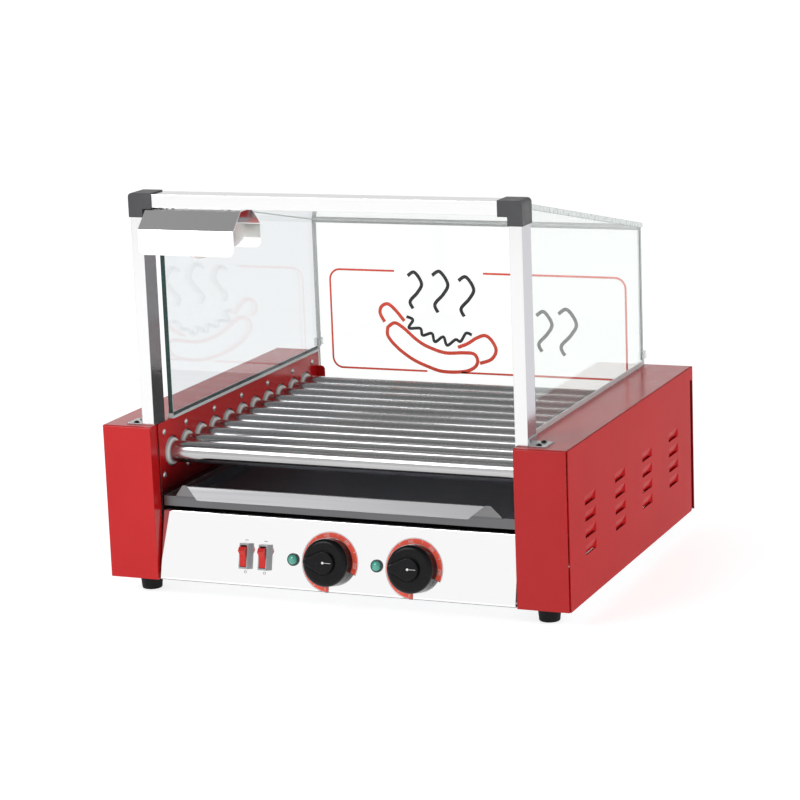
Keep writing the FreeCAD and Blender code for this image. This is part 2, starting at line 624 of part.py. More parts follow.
def switch_body():
    bezel = box(-BEZEL_W / 2, BEZEL_W / 2, -BEZEL_H / 2, BEZEL_H / 2, 0, BEZEL_PROUD)
    bezel = bezel.makeFillet(0.7, [e for e in bezel.Edges if abs(e.CenterOfMass.z - BEZEL_PROUD) < 0.01])
    can = box(-5.0, 5.0, -13.4, 13.4, -20, 0)
    tabs = [box(-0.4, 0.4, s - 3, s + 3, -28, -19) for s in (-8, 8)]
    cavity = box(-4.3, 4.3, -12.9, 12.9, -6, BEZEL_PROUD + 1)
    pivot = rod_x(-5.2, 5.2, 1.05, 0, ROCKER_PIVOT)
    return fused([bezel, can] + tabs).cut([cavity, pivot])


def rocker():
    """The rocking key, as a profile across its width, with a trunnion at each side."""
    outline = [(-11.8, 3.4), (-1.0, 2.6), (2.0, 3.2), (8.0, 7.0), (11.8, 3.6), (11.2, -2.4), (5.0, -5.0),
               (-5.0, -5.0), (-11.2, -2.4)]
    key = slab_yz(outline, -4.0, 4.0)
    return key.fuse(rod_x(-5.0, 5.0, 1.0, 0, 0))


def pilot_body():
    flange = Part.makeCylinder(7.5, 2.0)
    flange = flange.makeFillet(0.8, [e for e in flange.Edges if abs(e.CenterOfMass.z - 2.0) < 0.01])
    barrel = Part.makeCylinder(6.0, 26, Vector(0, 0, -26))
    return flange.fuse(barrel).cut(Part.makeCylinder(5.6, 6, Vector(0, 0, -1)))


def pilot_lens():
    barrel = Part.makeCylinder(5.6, 4.0, Vector(0, 0, -1))
    dome = Part.makeSphere(7.4, Vector(0, 0, -2.0)).common(Part.makeCylinder(5.6, 10, Vector(0, 0, 2)))
    return barrel.fuse(dome).removeSplitter()


# ---- guard frame ----

def post_section(inset):
    return (POST_X0 + inset, POST_X1 - inset, POST_Y0 + inset, POST_Y1 - inset)


def right_post():
    tube = box(*post_section(0), TOP_Z, RAIL_Z0)
    return tube.cut(box(*post_section(TUBE_SKIN), TOP_Z - 1, RAIL_Z0 + 1))


def top_rail():
    half = POST_X0 - 1.0
    tube = box(-half, half, POST_Y0, POST_Y1, RAIL_Z0, RAIL_Z1)
    hollow = box(-half - 1, half + 1, POST_Y0 + TUBE_SKIN, POST_Y1 - TUBE_SKIN,
                 RAIL_Z0 + TUBE_SKIN, RAIL_Z1 - TUBE_SKIN)
    return tube.cut(hollow)


def corner_connector():
    """The moulded corner: a cap over both tubes with a spigot inside each."""
    y0 = POST_Y0 - CAP_SKIN
    y1 = POST_Y1 + CAP_SKIN
    x1 = POST_X1 + CAP_SKIN
    z1 = RAIL_Z1 + CAP_SKIN
    across = box(CAP_INNER_X, x1, y0, y1, RAIL_Z0 - CAP_SKIN, z1)
    down = box(POST_X0 - CAP_SKIN, x1, y0, y1, CAP_LOW_Z, z1)
    cap = across.fuse(down).removeSplitter()
    rounded = [e for e in cap.Edges if abs(e.CenterOfMass.x - x1) < 0.01 and abs(e.CenterOfMass.z - z1) < 0.01]
    cap = cap.makeFillet(5.0, rounded)
    rail = box(CAP_INNER_X - 1, POST_X0 - 1.0, POST_Y0, POST_Y1, RAIL_Z0, RAIL_Z1)
    post = box(*post_section(0), CAP_LOW_Z - 1, RAIL_Z0)
    x0, x2, ya, yb = post_section(TUBE_SKIN + 0.1)
    rail_spigot = box(CAP_INNER_X - 12, POST_X0, ya, yb, RAIL_Z0 + 1.4, RAIL_Z1 - 1.4)
    post_spigot = box(x0, x2, ya, yb, RAIL_Z0 - 34, RAIL_Z0 + 1)
    return fused([cap.cut([rail, post]), rail_spigot, post_spigot])


def post_bracket():
    """The angle that screws the foot of the right post to the housing top."""
    y0 = POST_MID_Y - 13
    y1 = POST_MID_Y + 13
    foot = box(POST_X1, POST_X1 + 21, y0, y1, TOP_Z, TOP_Z + BRACKET_SHEET)
    leg = box(POST_X1, POST_X1 + BRACKET_SHEET, y0, y1, TOP_Z, TOP_Z + 9)
    holes = [Part.makeCylinder(2.1, 5, Vector(BRACKET_SCREW_X, y, TOP_Z - 1)) for y in BRACKET_SCREW_YS]
    return foot.fuse(leg).cut(holes)


# ---- glass ----

def roof_z(y):
    return ROOF_FRONT_Z - (y - ROOF_FRONT_Y) * ROOF_SLOPE


def right_glass():
    low = TOP_Z + SEAL_BASE
    outline = [(PANE_FRONT_Y, low), (PANE_BACK_Y, low), (PANE_BACK_Y, roof_z(PANE_BACK_Y) - ROOF_DROP - 0.1),
               (PANE_FRONT_Y, roof_z(PANE_FRONT_Y) - ROOF_DROP - 0.1)]
    return slab_yz(outline, PANE_X0, PANE_X0 + PANE)


def rear_glass():
    low = REAR_FLANGE_Z + SEAL_BASE
    y1 = REAR_PANE_Y + PANE
    outline = [(REAR_PANE_Y, low), (y1, low), (y1, roof_z(y1) - ROOF_DROP - 0.1),
               (REAR_PANE_Y, roof_z(REAR_PANE_Y) - ROOF_DROP - 0.1)]
    return slab_yz(outline, -REAR_PANE_HALF, REAR_PANE_HALF)


def top_glass():
    outline = [(ROOF_FRONT_Y, roof_z(ROOF_FRONT_Y)), (BACK, roof_z(BACK)), (BACK, roof_z(BACK) - ROOF_DROP),
               (ROOF_FRONT_Y, roof_z(ROOF_FRONT_Y) - ROOF_DROP)]
    half = PANE_X0 + PANE
    front_half = CAP_INNER_X - 0.5
    pane = slab_yz(outline, -half, half)
    y1 = POST_Y1 + CAP_SKIN + 0.4
    corners = [box(s * front_half, s * (half + 1), ROOF_FRONT_Y - 1, y1, 400, 500) for s in (-1, 1)]
    return pane.cut(corners)


def side_seal():
    """The channel that the foot of a side pane stands in, taller on its outer side."""
    x0 = PANE_X0 - SEAL_SKIN
    x1 = PANE_X0 + PANE + SEAL_SKIN
    strip = box(x0, x1, PANE_FRONT_Y - 1, PANE_BACK_Y, TOP_Z, TOP_Z + SEAL_HEIGHT)
    slot = box(PANE_X0, PANE_X0 + PANE, PANE_FRONT_Y, PANE_BACK_Y + 1, TOP_Z + SEAL_BASE, TOP_Z + 9)
    low_side = box(x0 - 1, PANE_X0, PANE_FRONT_Y - 2, PANE_BACK_Y + 1, TOP_Z + SEAL_INNER_HEIGHT, TOP_Z + 9)
    return strip.cut([slot, low_side])


def rear_seal():
    return box(-REAR_PANE_HALF, REAR_PANE_HALF, BACK - 13, BACK - 0.5, REAR_FLANGE_Z, REAR_FLANGE_Z + SEAL_BASE)


def corner_bead():
    """The pale bead in the corner between a side pane and the rear pane, on the cooking side."""
    size = 3.0
    z0 = TOP_Z + SEAL_HEIGHT
    foot = [Vector(PANE_X0, PANE_BACK_Y, z0), Vector(PANE_X0 - size, PANE_BACK_Y, z0),
            Vector(PANE_X0, PANE_BACK_Y - size, z0)]
    height = roof_z(PANE_BACK_Y) - ROOF_DROP - size - 1 - z0
    return Part.Face(Part.makePolygon(foot + [foot[0]])).extrude(Vector(0, 0, height))


def roof_bead():
    """The pale bead under the roof along the top of the rear pane."""
    size = 3.5
    top = roof_z(REAR_PANE_Y) - ROOF_DROP - 0.3
    corner = [(REAR_PANE_Y, top), (REAR_PANE_Y, top - size), (REAR_PANE_Y - size, top)]
    return slab_yz(corner, -PANE_X0 + 0.2, PANE_X0 - 0.2)


def glass_clip():
    """A small clear corner clip where the side and rear panes meet, just above the housing."""
    x1 = PANE_X0 + PANE
    z0 = TOP_Z + SEAL_HEIGHT + 1
    z1 = z0 + 10
    side_leg = box(x1, x1 + 1.5, PANE_BACK_Y - 6, BACK + 1.5, z0, z1)
    rear_leg = box(x1 - 9, x1 + 1.5, BACK - 0.3, BACK + 1.5, z0, z1)
    return side_leg.fuse(rear_leg).removeSplitter()


# ---- lamp ----

def lamp_shade():
    """The folded reflector under the rail: a flat top, two slopes and two upright flaps."""
    half_top = SHADE_TOP_HALF
    mid = SHADE_MID_Y
    path = [(mid - SHADE_HALF, SHADE_LOW_Z), (mid - SHADE_HALF, SHADE_FOLD_Z), (mid - half_top, SHADE_TOP_Z),
            (mid + half_top, SHADE_TOP_Z), (mid + SHADE_HALF, SHADE_FOLD_Z), (mid + SHADE_HALF, SHADE_LOW_Z)]
    shade = folded_yz(path, SHADE_SHEET, SHADE_X0, SHADE_X1, 2.5)
    corners = [e for e in shade.Edges if abs(e.CenterOfMass.z - SHADE_LOW_Z) < 0.01 and e.Length < 1.0]
    shade = shade.makeFillet(8.0, corners)
    bosses = [Part.makeCylinder(5.0, RAIL_Z0 - SHADE_TOP_Z + 0.2, Vector(x, mid, SHADE_TOP_Z - 0.2))
              for x in (SHADE_X0 + 25, SHADE_X1 - 25)]
    return fused([shade] + bosses)


def lamp_holder():
    """The screw lampholder on its strap under the shade's top."""
    inner_z = SHADE_TOP_Z - SHADE_SHEET
    strap = box(SHADE_X0 + 2, SHADE_X0 + 30, SHADE_MID_Y - 8, SHADE_MID_Y + 8, inner_z - 1.5, inner_z)
    plate = box(SHADE_X0 + 2, SHADE_X0 + 3.5, SHADE_MID_Y - 8, SHADE_MID_Y + 8, BULB_Z - 10, inner_z)
    cup = rod_x(SHADE_X0 + 3.5, SHADE_X0 + 27, 12.5, SHADE_MID_Y, BULB_Z)
    socket = rod_x(SHADE_X0 + 9, SHADE_X0 + 28, 9.0, SHADE_MID_Y, BULB_Z)
    return fused([strap, plate, cup]).cut(socket)


def lamp_bulb():
    """A small globe lamp lying along the shade, cap to the left."""
    globe = Part.makeSphere(BULB_R, Vector(BULB_X, SHADE_MID_Y, BULB_Z))
    neck_x = SHADE_X0 + 27
    neck = Part.makeCone(8.7, 16.0, BULB_X - 14 - neck_x, Vector(neck_x, SHADE_MID_Y, BULB_Z), Vector(1, 0, 0))
    cap = rod_x(SHADE_X0 + 10, neck_x + 1, 8.7, SHADE_MID_Y, BULB_Z)
    return fused([globe, neck, cap])


# ---- supply ----

def hexagon(across, length, y0):
    radius = across / math.sqrt(3)
    ring = []
    for corner in range(6):
        angle = math.pi * corner / 3
        ring.append((GLAND_X + radius * math.cos(angle), y0, GLAND_Z + radius * math.sin(angle)))
    return face_of(ring).extrude(Vector(0, length, 0))


def gland_rod(radius, y0, y1):
    return Part.makeCylinder(radius, y1 - y0, Vector(GLAND_X, y0, GLAND_Z), Vector(0, 1, 0))


def cable_gland():
    """The M20 cable gland: locknut inside, hexagon and domed nut outside, bored through."""
    thread = gland_rod(GLAND_THREAD_R - 0.1, BACK - 12, BACK)
    nut = hexagon(24.0, 4.0, BACK - SHEET - 4.0)
    flange = hexagon(24.0, 5.0, BACK)
    dome = gland_rod(11.0, BACK + 5, BACK + GLAND_PROUD)
    dome = dome.makeFillet(3.0, [e for e in dome.Edges if abs(e.CenterOfMass.y - BACK - GLAND_PROUD) < 0.01])
    return fused([thread, nut, flange, dome]).cut(gland_rod(GLAND_BORE_R, BACK - 20, BACK + 20))


def terminal_block():
    """The mains terminal block on the floor of the right housing."""
    base = box(262, 280, 150, 200, FLOOR_Z + 3, FLOOR_Z + 15)
    ribs = [box(262, 280, 152 + 12 * i, 162 + 12 * i, FLOOR_Z + 14, FLOOR_Z + 21) for i in range(4)]
    wells = [Part.makeCylinder(2.5, 12, Vector(x, 157 + 12 * i, FLOOR_Z + 12))
             for i in range(4) for x in (266, 276)]
    return fused([base] + ribs).cut(wells)


def housing_floor():
    """The underside of the right housing, which the feet and the terminal block screw to."""
    inset = SHEET + GAP
    return box(INNER_X + inset, SIDE - inset, FRONT + inset, BACK - inset, FLOOR_Z, FLOOR_Z + 1.5)


def foot(x, y):
    body = Part.makeCone(12.0, 14.0, FOOT_HEIGHT, Vector(x, y, 0))
    body = body.makeFillet(1.5, [e for e in body.Edges if abs(e.CenterOfMass.z) < 0.01])
    return body.cut(Part.makeCylinder(4.0, 4.0, Vector(x, y, 0)))


def main():
    os.makedirs("parts", exist_ok=True)

    export("right_housing", housing(1))
    export("left_housing", housing(-1))
    cover = outer_cover()
    export("right_outer_cover", cover)
    export("left_outer_cover", mirrored(cover))
    inner = inner_cover()
    export("right_inner_cover", inner)
    export("left_inner_cover", mirrored(inner))
    plate = bearing_plate()
    export("right_bearing_plate", plate)
    export("left_bearing_plate", mirrored(plate))
    floor = housing_floor()
    export("housing_floors", floor, mirrored(floor))
    export("rubber_feet", *[foot(x, y) for x in (-253.0, 253.0) for y in (-207.0, 207.0)])

    bushes = [bush(y) for y in roller_ys()]
    export("roller_bushes", *(bushes + [mirrored(b) for b in bushes]))
    for index, y in enumerate(roller_ys()):
        export("roller_%02d" % (index + 1), roller(y))
    export("heating_rods", *[heating_rod(y) for y in roller_ys()])
    strip = element_bracket()
    export("right_element_bracket", strip)
    export("left_element_bracket", mirrored(strip))
    export("drive_chain", *chain())
    export("motor_sprocket", motor_sprocket())
    export("gear_motor", gear_motor())
    export("motor_bracket", motor_bracket())

    export("control_panel", control_panel())
    export("electrics_cover", electrics_cover())
    export("base_pan", base_pan())
    export("rear_panel", rear_panel())
    export("drip_tray", drip_tray())
    runner = tray_runner()
    export("tray_runners", runner, mirrored(runner))

    export("left_temperature_knob", on_panel(knob(), KNOB_XS[0], ROW_S, 0.5))
    export("right_temperature_knob", on_panel(knob(), KNOB_XS[1], ROW_S, 0.5))
    export("thermostats", *[on_panel(thermostat(), x, ROW_S) for x in KNOB_XS])
    export("switch_bodies", *[on_panel(switch_body(), x, ROW_S) for x in SWITCH_XS])
    export("left_rocker", on_panel(rocker(), SWITCH_XS[0], ROW_S, ROCKER_PIVOT, ROCKER_REST))
    export("right_rocker", on_panel(rocker(), SWITCH_XS[1], ROW_S, ROCKER_PIVOT, ROCKER_REST))
    export("pilot_bodies", *[on_panel(pilot_body(), x, ROW_S) for x in PILOT_XS])
    export("pilot_lenses", *[on_panel(pilot_lens(), x, ROW_S) for x in PILOT_XS])

    post = right_post()
    export("right_post", post)
    export("left_post", mirrored(post))
    export("top_rail", top_rail())
    connector = corner_connector()
    export("corner_connectors", connector, mirrored(connector))
    bracket = post_bracket()
    export("post_brackets", bracket, mirrored(bracket))

    pane = right_glass()
    export("right_glass", pane)
    export("left_glass", mirrored(pane))
    export("rear_glass", rear_glass())
    export("top_glass", top_glass())
    seal = side_seal()
    bead = corner_bead()
    export("glass_seals", seal, mirrored(seal), rear_seal(), bead, mirrored(bead), roof_bead())
    clip = glass_clip()
    export("glass_clips", clip, mirrored(clip))

    export("lamp_shade", lamp_shade())
    export("lamp_holder", lamp_holder())
    export("lamp_bulb", lamp_bulb())

    screws = [domed_screw(Vector(COVER_FACE_X, y, SCREW_Z), Vector(-1, 0, 0)) for y in SCREW_YS]
    screws += [domed_screw(Vector(COVER_FACE_X, y, LOW_SCREW_Z), Vector(-1, 0, 0)) for y in LOW_SCREW_YS]
    screws += [domed_screw(Vector(BRACKET_SCREW_X, y, TOP_Z + BRACKET_SHEET), Vector(0, 0, 1))
               for y in BRACKET_SCREW_YS]
    export("m4_screws", *(screws + [mirrored(s) for s in screws]))
    export("cable_gland", cable_gland())
    export("terminal_block", terminal_block())


main()
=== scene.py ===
import json
import math

import bmesh
import bpy
from mathutils import Matrix, Vector


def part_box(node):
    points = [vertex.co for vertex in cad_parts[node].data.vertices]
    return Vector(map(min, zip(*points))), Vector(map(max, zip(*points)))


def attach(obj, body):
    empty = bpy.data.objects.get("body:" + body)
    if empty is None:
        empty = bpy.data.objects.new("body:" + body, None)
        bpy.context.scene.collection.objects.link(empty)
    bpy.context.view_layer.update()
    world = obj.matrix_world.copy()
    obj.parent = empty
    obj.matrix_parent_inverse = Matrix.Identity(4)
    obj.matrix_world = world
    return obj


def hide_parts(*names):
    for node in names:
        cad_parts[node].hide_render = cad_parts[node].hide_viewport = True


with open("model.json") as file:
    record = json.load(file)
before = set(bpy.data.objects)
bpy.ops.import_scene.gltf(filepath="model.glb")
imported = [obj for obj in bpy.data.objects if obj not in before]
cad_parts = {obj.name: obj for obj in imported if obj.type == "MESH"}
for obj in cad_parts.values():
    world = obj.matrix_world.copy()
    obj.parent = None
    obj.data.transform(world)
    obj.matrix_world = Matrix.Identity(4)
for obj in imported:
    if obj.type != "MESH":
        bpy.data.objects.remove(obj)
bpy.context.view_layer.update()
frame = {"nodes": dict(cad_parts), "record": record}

# Hot dog roller grill. Metres, +X right, +Y back, +Z up, origin on the worktop.

# ---- viewpoint ----
CAMERA_PLACE = Vector((1.2569, -2.9692, 0.8922))
CAMERA_YAW = 0.403
CAMERA_PITCH = -0.212
CAMERA_ROLL = -0.038
CAMERA_LENS = 121.7


# =====================================================================
# material helpers
# =====================================================================

NOISE_ROUGHNESS = 0.55


class Shader:
    """A small builder for one node material round a Principled shader."""

    def __init__(self, name, **inputs):
        self.material = bpy.data.materials.new(name)
        self.material.use_nodes = True
        self.tree = self.material.node_tree
        self.principled = self.tree.nodes["Principled BSDF"]
        self.output = self.tree.nodes["Material Output"]
        self.place = self.add("ShaderNodeTexCoord").outputs["Object"]
        for key, value in inputs.items():
            self.set(key.replace("_", " "), value)

    def add(self, kind, **settings):
        node = self.tree.nodes.new(kind)
        for key, value in settings.items():
            setattr(node, key, value)
        return node

    def link(self, source, target):
        self.tree.links.new(source, target)

    def set(self, name, value):
        socket = self.principled.inputs[name]
        if isinstance(value, (tuple, list)) and len(value) == 3 and socket.type == "RGBA":
            value = (*value, 1.0)
        socket.default_value = value

    def stretched(self, scale):
        """Object coordinates stretched by a factor along each axis."""
        mapping = self.add("ShaderNodeMapping")
        mapping.inputs["Scale"].default_value = scale
        self.link(self.place, mapping.inputs["Vector"])
        return mapping.outputs["Vector"]

    def noise(self, scale, detail=4.0, stretch=None):
        node = self.add("ShaderNodeTexNoise")
        node.inputs["Scale"].default_value = scale
        node.inputs["Detail"].default_value = detail
        node.inputs["Roughness"].default_value = NOISE_ROUGHNESS
        self.link(self.stretched(stretch) if stretch else self.place, node.inputs["Vector"])
        return node.outputs["Fac"]

    def cells(self, scale):
        node = self.add("ShaderNodeTexVoronoi", feature="F1")
        node.inputs["Scale"].default_value = scale
        self.link(self.place, node.inputs["Vector"])
        return node

    def spread(self, source, low, high, start=0.3, end=0.7):
        """A value remapped from start..end to low..high."""
        node = self.add("ShaderNodeMapRange")
        node.inputs["From Min"].default_value = start
        node.inputs["From Max"].default_value = end
        node.inputs["To Min"].default_value = low
        node.inputs["To Max"].default_value = high
        self.link(source, node.inputs["Value"])
        return node.outputs["Result"]

    def blend_colour(self, factor, first, second):
        node = self.add("ShaderNodeMix", data_type="RGBA")
        self.link(factor, node.inputs["Factor"])
        for socket, colour in ((node.inputs[6], first), (node.inputs[7], second)):
            if isinstance(colour, tuple):
                socket.default_value = (*colour, 1.0)
            else:
                self.link(colour, socket)
        return node.outputs[2]

    def maths(self, operation, first, second):
        node = self.add("ShaderNodeMath", operation=operation)
        for socket, value in zip(node.inputs, (first, second)):
            if isinstance(value, (int, float)):
                socket.default_value = value
            else:
                self.link(value, socket)
        return node.outputs[0]

    def drive(self, name, source):
        self.link(source, self.principled.inputs[name])

    def rounded(self, radius):
        """A normal that softens every edge of the mesh by a small radius."""
        node = self.add("ShaderNodeBevel", samples=6)
        node.inputs["Radius"].default_value = radius
        return node.outputs["Normal"]

    def axis(self, name):
        node = self.add("ShaderNodeSeparateXYZ")
        self.link(self.place, node.inputs[0])
        return node.outputs[name]

    def bump(self, height, strength, distance, below=None):
        node = self.add("ShaderNodeBump")
        node.inputs["Strength"].default_value = strength
        node.inputs["Distance"].default_value = distance
        self.link(height, node.inputs["Height"])
        if below is not None:
            self.link(below, node.inputs["Normal"])
        return node.outputs["Normal"]


def red_paint(name="red_powder_coat", shade_top=None, level=0.24, depth=1.0, coat=0.10):
    """Gloss powder coat: fine orange peel under a clear skin; depth darkens the whole red, which on the right
    housing is painted shade; below shade_top an inner cover gets painted shade, near black under the rollers.
    """
    s = Shader(name, Specular_IOR_Level=level, Coat_Weight=coat, Coat_Roughness=0.04)
    tone = s.spread(s.noise(7.0, 3.0), 0.0, 1.0)
    red = s.blend_colour(tone, (0.49 * depth, 0.007, 0.008), (0.54 * depth, 0.010, 0.012))
    if shade_top:
        # painted shade: below shade_top the red fades to near black, standing for the shadow under the rollers
        lit = s.spread(s.axis("Z"), 0.0, 1.0, shade_top - 0.045, shade_top)
        red = s.blend_colour(lit, (0.035, 0.002, 0.003), red)
    s.drive("Base Color", red)
    marks = s.noise(38.0, 6.0, stretch=(1.0, 1.0, 0.35))
    s.drive("Roughness", s.spread(marks, 0.16, 0.26))
    peel = s.noise(420.0, 2.0)
    waves = s.noise(9.0, 1.0)
    skin = s.bump(waves, 0.08, 0.002, s.rounded(0.0009))
    s.drive("Normal", s.bump(peel, 0.08, 0.0004, skin))
    return s.material


def brushed(name, colour, grain, dark=0.82, rough=(0.22, 0.38)):
    """Brushed or rolled metal with its grain along one axis; grain holds the stretch of each axis."""
    s = Shader(name, Metallic=1.0)
    lines = s.noise(1.0, 5.0, stretch=grain)
    clouds = s.noise(14.0, 3.0)
    shade = tuple(c * dark for c in colour)
    s.drive("Base Color", s.blend_colour(s.spread(lines, 0.0, 1.0, 0.25, 0.75), shade, colour))
    s.drive("Roughness", s.maths("ADD", s.spread(lines, rough[0], rough[1]), s.spread(clouds, -0.03, 0.04)))
    s.drive("Normal", s.bump(lines, 0.10, 0.0002, s.rounded(0.0006)))
    return s.material


def aluminium(name, grain, side=0.55, top=0.55, front=0.80):
    """Anodised extrusion with painted shade and painted reflection by face direction: bright on its front, greyer on
    the faces that look sideways and up.
    """
    s = Shader(name, Metallic=1.0)
    normal = s.add("ShaderNodeNewGeometry").outputs["Normal"]
    facing = s.add("ShaderNodeSeparateXYZ")
    s.link(normal, facing.inputs[0])
    # painted shade and painted reflection: faces looking sideways take the side grey, faces looking up the top grey
    sideways = s.spread(s.maths("ABSOLUTE", facing.outputs["X"], 0.0), 0.0, 1.0, 0.3, 0.8)
    upward = s.spread(facing.outputs["Z"], 0.0, 1.0, 0.3, 0.8)
    lines = s.noise(1.0, 5.0, stretch=grain)
    bright = s.blend_colour(s.spread(lines, 0.0, 1.0, 0.25, 0.75), (front * 0.93, front * 0.93, front * 0.94),
                            (front, front, front))
    sideways_painted_shade = s.blend_colour(sideways, bright, (side, side * 0.98, side * 1.04))
    s.drive("Base Color", s.blend_colour(upward, sideways_painted_shade, (top, top, top)))
    s.drive("Roughness", s.spread(lines, 0.10, 0.20))
    s.drive("Normal", s.bump(lines, 0.08, 0.0002, s.rounded(0.0012)))
    return s.material


def fixing_steel():
    """Nickel-plated on the covers, blackened on the bracket screws above the housings."""
    s = Shader("fixing_steel", Metallic=1.0)
    grit = s.noise(300.0, 4.0)
    above = s.spread(s.axis("Z"), 0.0, 1.0, 0.2035, 0.2045)
    plated = s.blend_colour(s.spread(grit, 0.0, 1.0), (0.50, 0.50, 0.49), (0.70, 0.70, 0.68))
    s.drive("Base Color", s.blend_colour(above, plated, (0.035, 0.035, 0.037)))
    s.drive("Roughness", s.spread(grit, 0.18, 0.30))
    s.drive("Normal", s.bump(grit, 0.06, 0.0002, s.rounded(0.0003)))
    return s.material


def tray_steel():
    """The tray's sheet, its tones painted shade and painted reflection by place: bright on the turned-down flap,
    duller on the apron, dark inside.
    """
    s = Shader("tray_steel", Metallic=1.0)
    lines = s.noise(1.0, 5.0, stretch=(4.0, 500.0, 500.0))
    # painted shade and painted reflection: fixed greys by place on the sheet stand for how light falls on the flap,
    # the apron and the inside
    inside = s.spread(s.axis("Y"), 0.0, 1.0, -0.2235, -0.2215)
    low = s.spread(s.axis("Z"), 1.0, 0.0, 0.1190, 0.1205)
    front = s.blend_colour(low, (0.22, 0.22, 0.225), (0.15, 0.15, 0.155))
    back = s.blend_colour(low, (0.28, 0.285, 0.30), (0.34, 0.35, 0.38))
    sheet = s.blend_colour(inside, front, back)
    apron_face = s.spread(s.axis("Y"), 1.0, 0.0, -0.2219, -0.2212)
    s.drive("Base Color", s.blend_colour(s.maths("MULTIPLY", apron_face, low), sheet, (0.15, 0.15, 0.155)))
    s.drive("Roughness", s.spread(lines, 0.30, 0.42))
    s.drive("Normal", s.bump(lines, 0.08, 0.0002, s.rounded(0.0006)))
    return s.material


def mirror_steel(name="mirror_steel", edge_z=None):
    """Polished sheet: slow ripples of the rolled surface and faint polishing lines; painted shade, nearly black,
    below edge_z.
    """
    s = Shader(name, Metallic=1.0, Base_Color=(0.91, 0.91, 0.91))
    if edge_z:
        # painted shade: nearly black below edge_z, standing for the shadow under the panel's bottom edge
        lit = s.spread(s.axis("Z"), 0.0, 1.0, edge_z, edge_z + 0.0012)
        s.drive("Base Color", s.blend_colour(lit, (0.06, 0.06, 0.065), (0.93, 0.93, 0.93)))
    lines = s.noise(1.0, 4.0, stretch=(6.0, 900.0, 900.0))
    ripples = s.noise(5.0, 1.0)
    smears = s.noise(11.0, 5.0)
    s.drive("Roughness", s.maths("ADD", s.spread(smears, 0.04, 0.10), s.spread(lines, -0.01, 0.03)))
    s.drive("Normal", s.bump(lines, 0.02, 0.0002, s.bump(ripples, 0.06, 0.003, s.rounded(0.0006))))
    return s.material


def roller_steel():
    """Centreless-ground tube: fine rings round it, cloudy heat and cleaning marks along it."""
    s = Shader("roller_steel", Metallic=1.0)
    rings = s.noise(1.0, 2.0, stretch=(160.0, 6.0, 6.0))
    wear = s.noise(1.0, 2.0, stretch=(4.0, 14.0, 14.0))
    s.drive("Base Color", s.blend_colour(s.spread(wear, 0.0, 1.0), (0.44, 0.44, 0.44), (0.54, 0.54, 0.55)))
    s.drive("Roughness", s.maths("ADD", s.spread(wear, 0.15, 0.20), s.spread(rings, -0.01, 0.02)))
    s.drive("Normal", s.bump(rings, 0.004, 0.0001))
    return s.material


def zinc():
    """Galvanised sheet with its flat crystals."""
    s = Shader("galvanised_sheet", Metallic=0.9)
    flakes = s.cells(140.0)
    tone = s.add("ShaderNodeSeparateColor")
    s.link(flakes.outputs["Color"], tone.inputs["Color"])
    s.drive("Base Color", s.blend_colour(tone.outputs[0], (0.38, 0.39, 0.40), (0.60, 0.61, 0.62)))
    s.drive("Roughness", s.spread(tone.outputs[1], 0.32, 0.52, 0.0, 1.0))
    s.drive("Normal", s.bump(s.noise(60.0, 3.0), 0.08, 0.0005))
    return s.material


def moulded(name, colour, rough=(0.38, 0.5), grain=900.0, strength=0.12, light=1.35, **inputs):
    """Moulded plastic or rubber: spark-eroded grain, uneven gloss and slight colour drift."""
    s = Shader(name, **inputs)
    drift = s.noise(25.0, 3.0)
    s.drive("Base Color", s.blend_colour(s.spread(drift, 0.0, 1.0), colour, tuple(c * light for c in colour)))
    s.drive("Roughness", s.spread(s.noise(90.0, 4.0), *rough))
    s.drive("Normal", s.bump(s.noise(grain, 2.0), strength, 0.0003, s.rounded(0.0004)))
    return s.material


def knob_black(name):
    """Polished black phenolic with fine swirl marks."""
    s = Shader(name, Specular_IOR_Level=0.16)
    swirls = s.noise(140.0, 5.0)
    s.drive("Base Color", s.blend_colour(s.spread(s.noise(30.0), 0.0, 1.0), (0.004, 0.004, 0.005),
                                         (0.008, 0.008, 0.009)))
    s.drive("Roughness", s.spread(swirls, 0.16, 0.30))
    s.drive("Normal", s.bump(swirls, 0.05, 0.0003, s.rounded(0.0005)))
    return s.material


def clear_glass(name, tint=(0.935, 0.955, 0.945), smear=0.008):
    """Toughened glass; rays from lamps pass straight through so that the rollers are lit."""
    s = Shader(name, Transmission_Weight=1.0, IOR=1.30, Base_Color=tint)
    s.drive("Roughness", s.spread(s.noise(6.0, 5.0), 0.0, smear, 0.45, 0.75))
    through = s.add("ShaderNodeBsdfTransparent")
    through.inputs["Color"].default_value = (*tint, 1.0)
    mix = s.add("ShaderNodeMixShader")
    s.link(s.add("ShaderNodeLightPath").outputs["Is Shadow Ray"], mix.inputs[0])
    s.link(s.principled.outputs[0], mix.inputs[1])
    s.link(through.outputs[0], mix.inputs[2])
    s.link(mix.outputs[0], s.output.inputs["Surface"])
    return s.material


def glass_edge(name, colour):
    """The ground edge of a pane: cloudy and green, with the grinder's cross lines."""
    s = Shader(name, Specular_IOR_Level=0.4)
    lines = s.noise(1.0, 4.0, stretch=(260.0, 260.0, 260.0))
    s.drive("Base Color", s.blend_colour(s.spread(lines, 0.0, 1.0), tuple(c * 0.85 for c in colour), colour))
    s.drive("Roughness", s.spread(lines, 0.2, 0.4))
    s.drive("Normal", s.bump(lines, 0.1, 0.0002))
    return s.material


